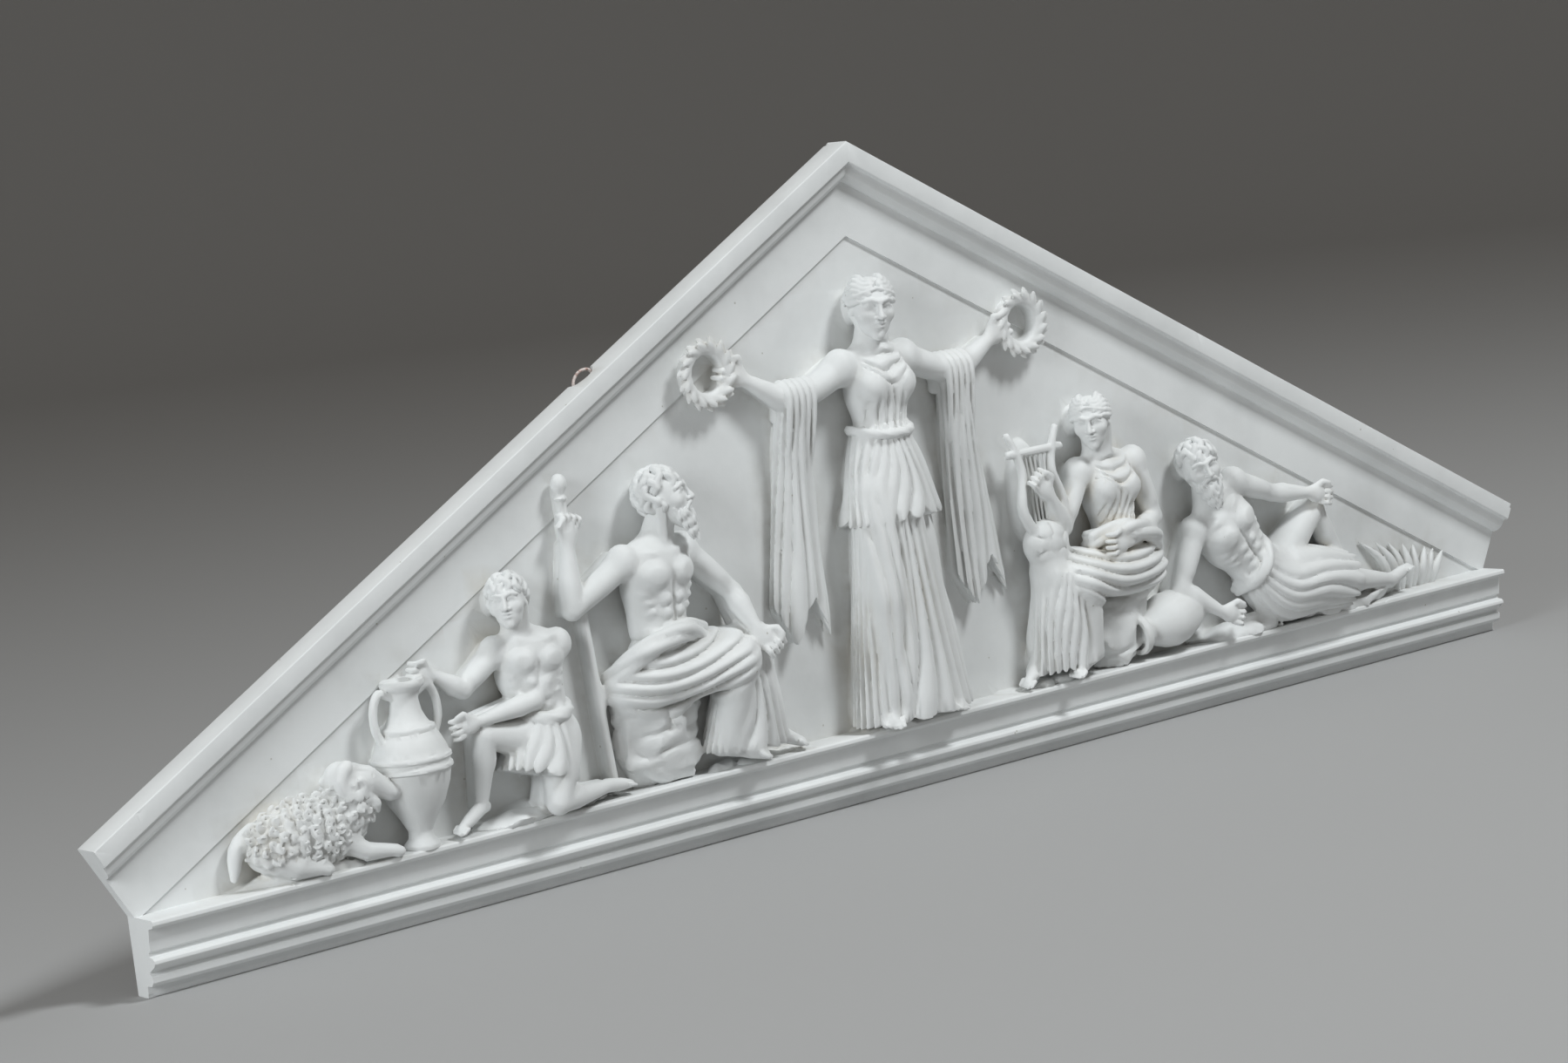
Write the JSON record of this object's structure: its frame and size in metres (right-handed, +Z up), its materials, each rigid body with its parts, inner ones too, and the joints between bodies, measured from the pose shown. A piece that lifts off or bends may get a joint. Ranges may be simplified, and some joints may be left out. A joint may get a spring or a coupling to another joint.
{
  "type": "pediment section",
  "caption": "Cast plaster wall pediment: triangular panel with raking mouldings, a moulded base strip and draped classical figures in high relief, with a wire hanging loop.",
  "frame": {"origin": "on the flat back, on the panel's middle line, 120 mm above the base strip's underside", "axes": "+X along the base strip to the viewer's right, +Y into the wall behind the flat back, +Z up"},
  "size_m": [1.047, 0.0424, 0.374],
  "materials": {
    "plaster": "matt cast plaster, unpainted, faintly soiled in the recesses",
    "wire": "dull copper-brown wire, smeared with plaster"
  },
  "bodies": {
    "root": {"plaster_pediment": "plaster", "hanging_wire": "wire"}
  },
  "joints": []
}
